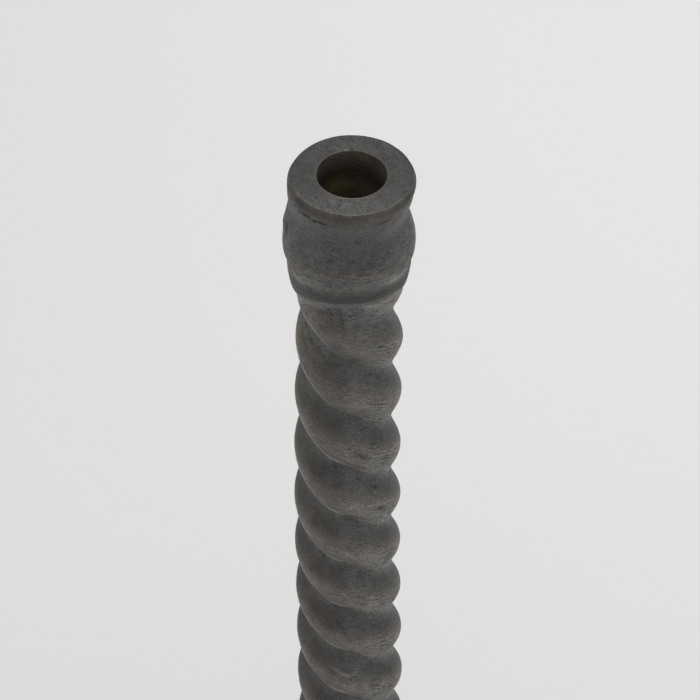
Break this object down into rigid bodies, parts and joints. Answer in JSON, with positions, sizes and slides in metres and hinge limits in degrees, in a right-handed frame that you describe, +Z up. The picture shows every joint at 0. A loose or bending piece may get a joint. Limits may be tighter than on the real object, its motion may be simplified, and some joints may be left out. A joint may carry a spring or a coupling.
{
  "type": "spiral candle holder",
  "caption": "Tall candlestick with a left-twisted rope column, a barrel-shaped head bored for a taper candle and a flat round foot on a felt pad.",
  "frame": {"origin": "centre of the felt pad's underside, on the table", "axes": "+Z up along the column to the candle socket, -Y towards the pictured front"},
  "size_m": [0.125, 0.125, 0.4202],
  "materials": {
    "patinated_casting": "sand-cast aluminium with a rubbed grey-brown antique patina, satin",
    "zinc_steel": "zinc-plated steel",
    "felt": "black wool felt"
  },
  "bodies": {
    "root": {"candle_head": "patinated_casting", "spiral_stem": "patinated_casting", "foot": "patinated_casting", "head_stud": "zinc_steel", "foot_bolt": "zinc_steel", "plain_washer": "zinc_steel", "spring_washer": "zinc_steel", "felt_pad": "felt"}
  },
  "joints": []
}
